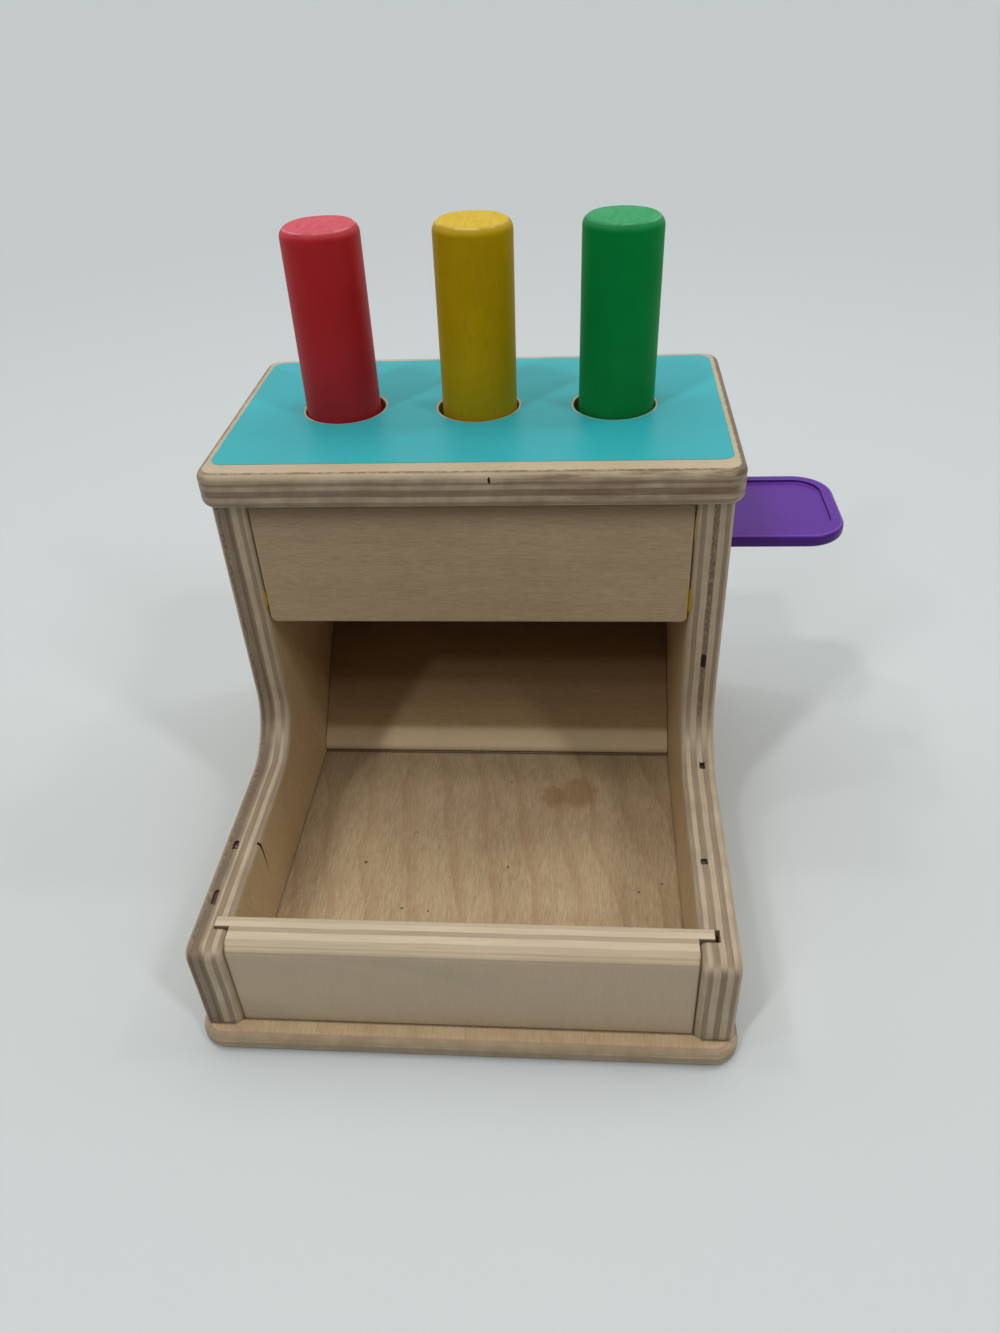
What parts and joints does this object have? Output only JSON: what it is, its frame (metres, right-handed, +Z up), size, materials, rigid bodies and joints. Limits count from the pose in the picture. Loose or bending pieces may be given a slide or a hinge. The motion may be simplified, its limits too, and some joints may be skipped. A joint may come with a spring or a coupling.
{
  "type": "peg drop toy",
  "caption": "Wooden peg drop toy: pegs stand in a plywood box over a sideways pull-out gate, and a sloped chute hands the fallen pegs to an open tray.",
  "frame": {"origin": "centre of the base plate's underside, on the surface that the toy stands on", "axes": "+Z up, -Y towards the open tray, +X towards the gate's finger tab"},
  "size_m": [0.2049, 0.1945, 0.2035],
  "materials": {
    "birch_plywood": "clear satin, striped edges",
    "deck_paint": "satin paint",
    "gate_plastic": "satin moulding",
    "red_stain": "satin stain, grain shows",
    "yellow_stain": "satin stain, grain shows",
    "green_stain": "satin stain, grain shows",
    "beech": "bare",
    "screw_steel": "zinc plated"
  },
  "bodies": {
    "box": {"base_plate": "birch_plywood", "left_side_panel": "birch_plywood", "right_side_panel": "birch_plywood", "top_deck": "birch_plywood", "deck_paint": "deck_paint", "fascia": "birch_plywood", "back_panel": "birch_plywood", "tray_lip": "birch_plywood", "ramp_board": "birch_plywood", "front_runner": "beech", "rear_runner": "beech", "deck_dowel_1": "beech", "deck_dowel_2": "beech", "deck_dowel_3": "beech", "deck_dowel_4": "beech", "base_screw_1": "screw_steel", "base_screw_2": "screw_steel", "base_screw_3": "screw_steel", "base_screw_4": "screw_steel", "base_screw_5": "screw_steel", "base_screw_6": "screw_steel", "base_screw_7": "screw_steel", "base_screw_8": "screw_steel"},
    "gate": {"gate": "gate_plastic"},
    "red_peg": {"peg_red": "red_stain"},
    "yellow_peg": {"peg_yellow": "yellow_stain"},
    "green_peg": {"peg_green": "green_stain"}
  },
  "joints": [
    {"name": "gate_pull", "type": "slide", "parent": "box", "child": "gate", "axis": [1, 0, 0], "range_m": [0, 0.0224]},
    {"name": "red_peg_lift", "type": "slide", "parent": "box", "child": "red_peg", "axis": [0.0017, 0, 1], "range_m": [0, 0.1]},
    {"name": "yellow_peg_lift", "type": "slide", "parent": "box", "child": "yellow_peg", "axis": [0.0157, 0, 0.9999], "range_m": [0, 0.1]},
    {"name": "green_peg_lift", "type": "slide", "parent": "box", "child": "green_peg", "axis": [0.0166, 0, 0.9999], "range_m": [0, 0.1]}
  ]
}
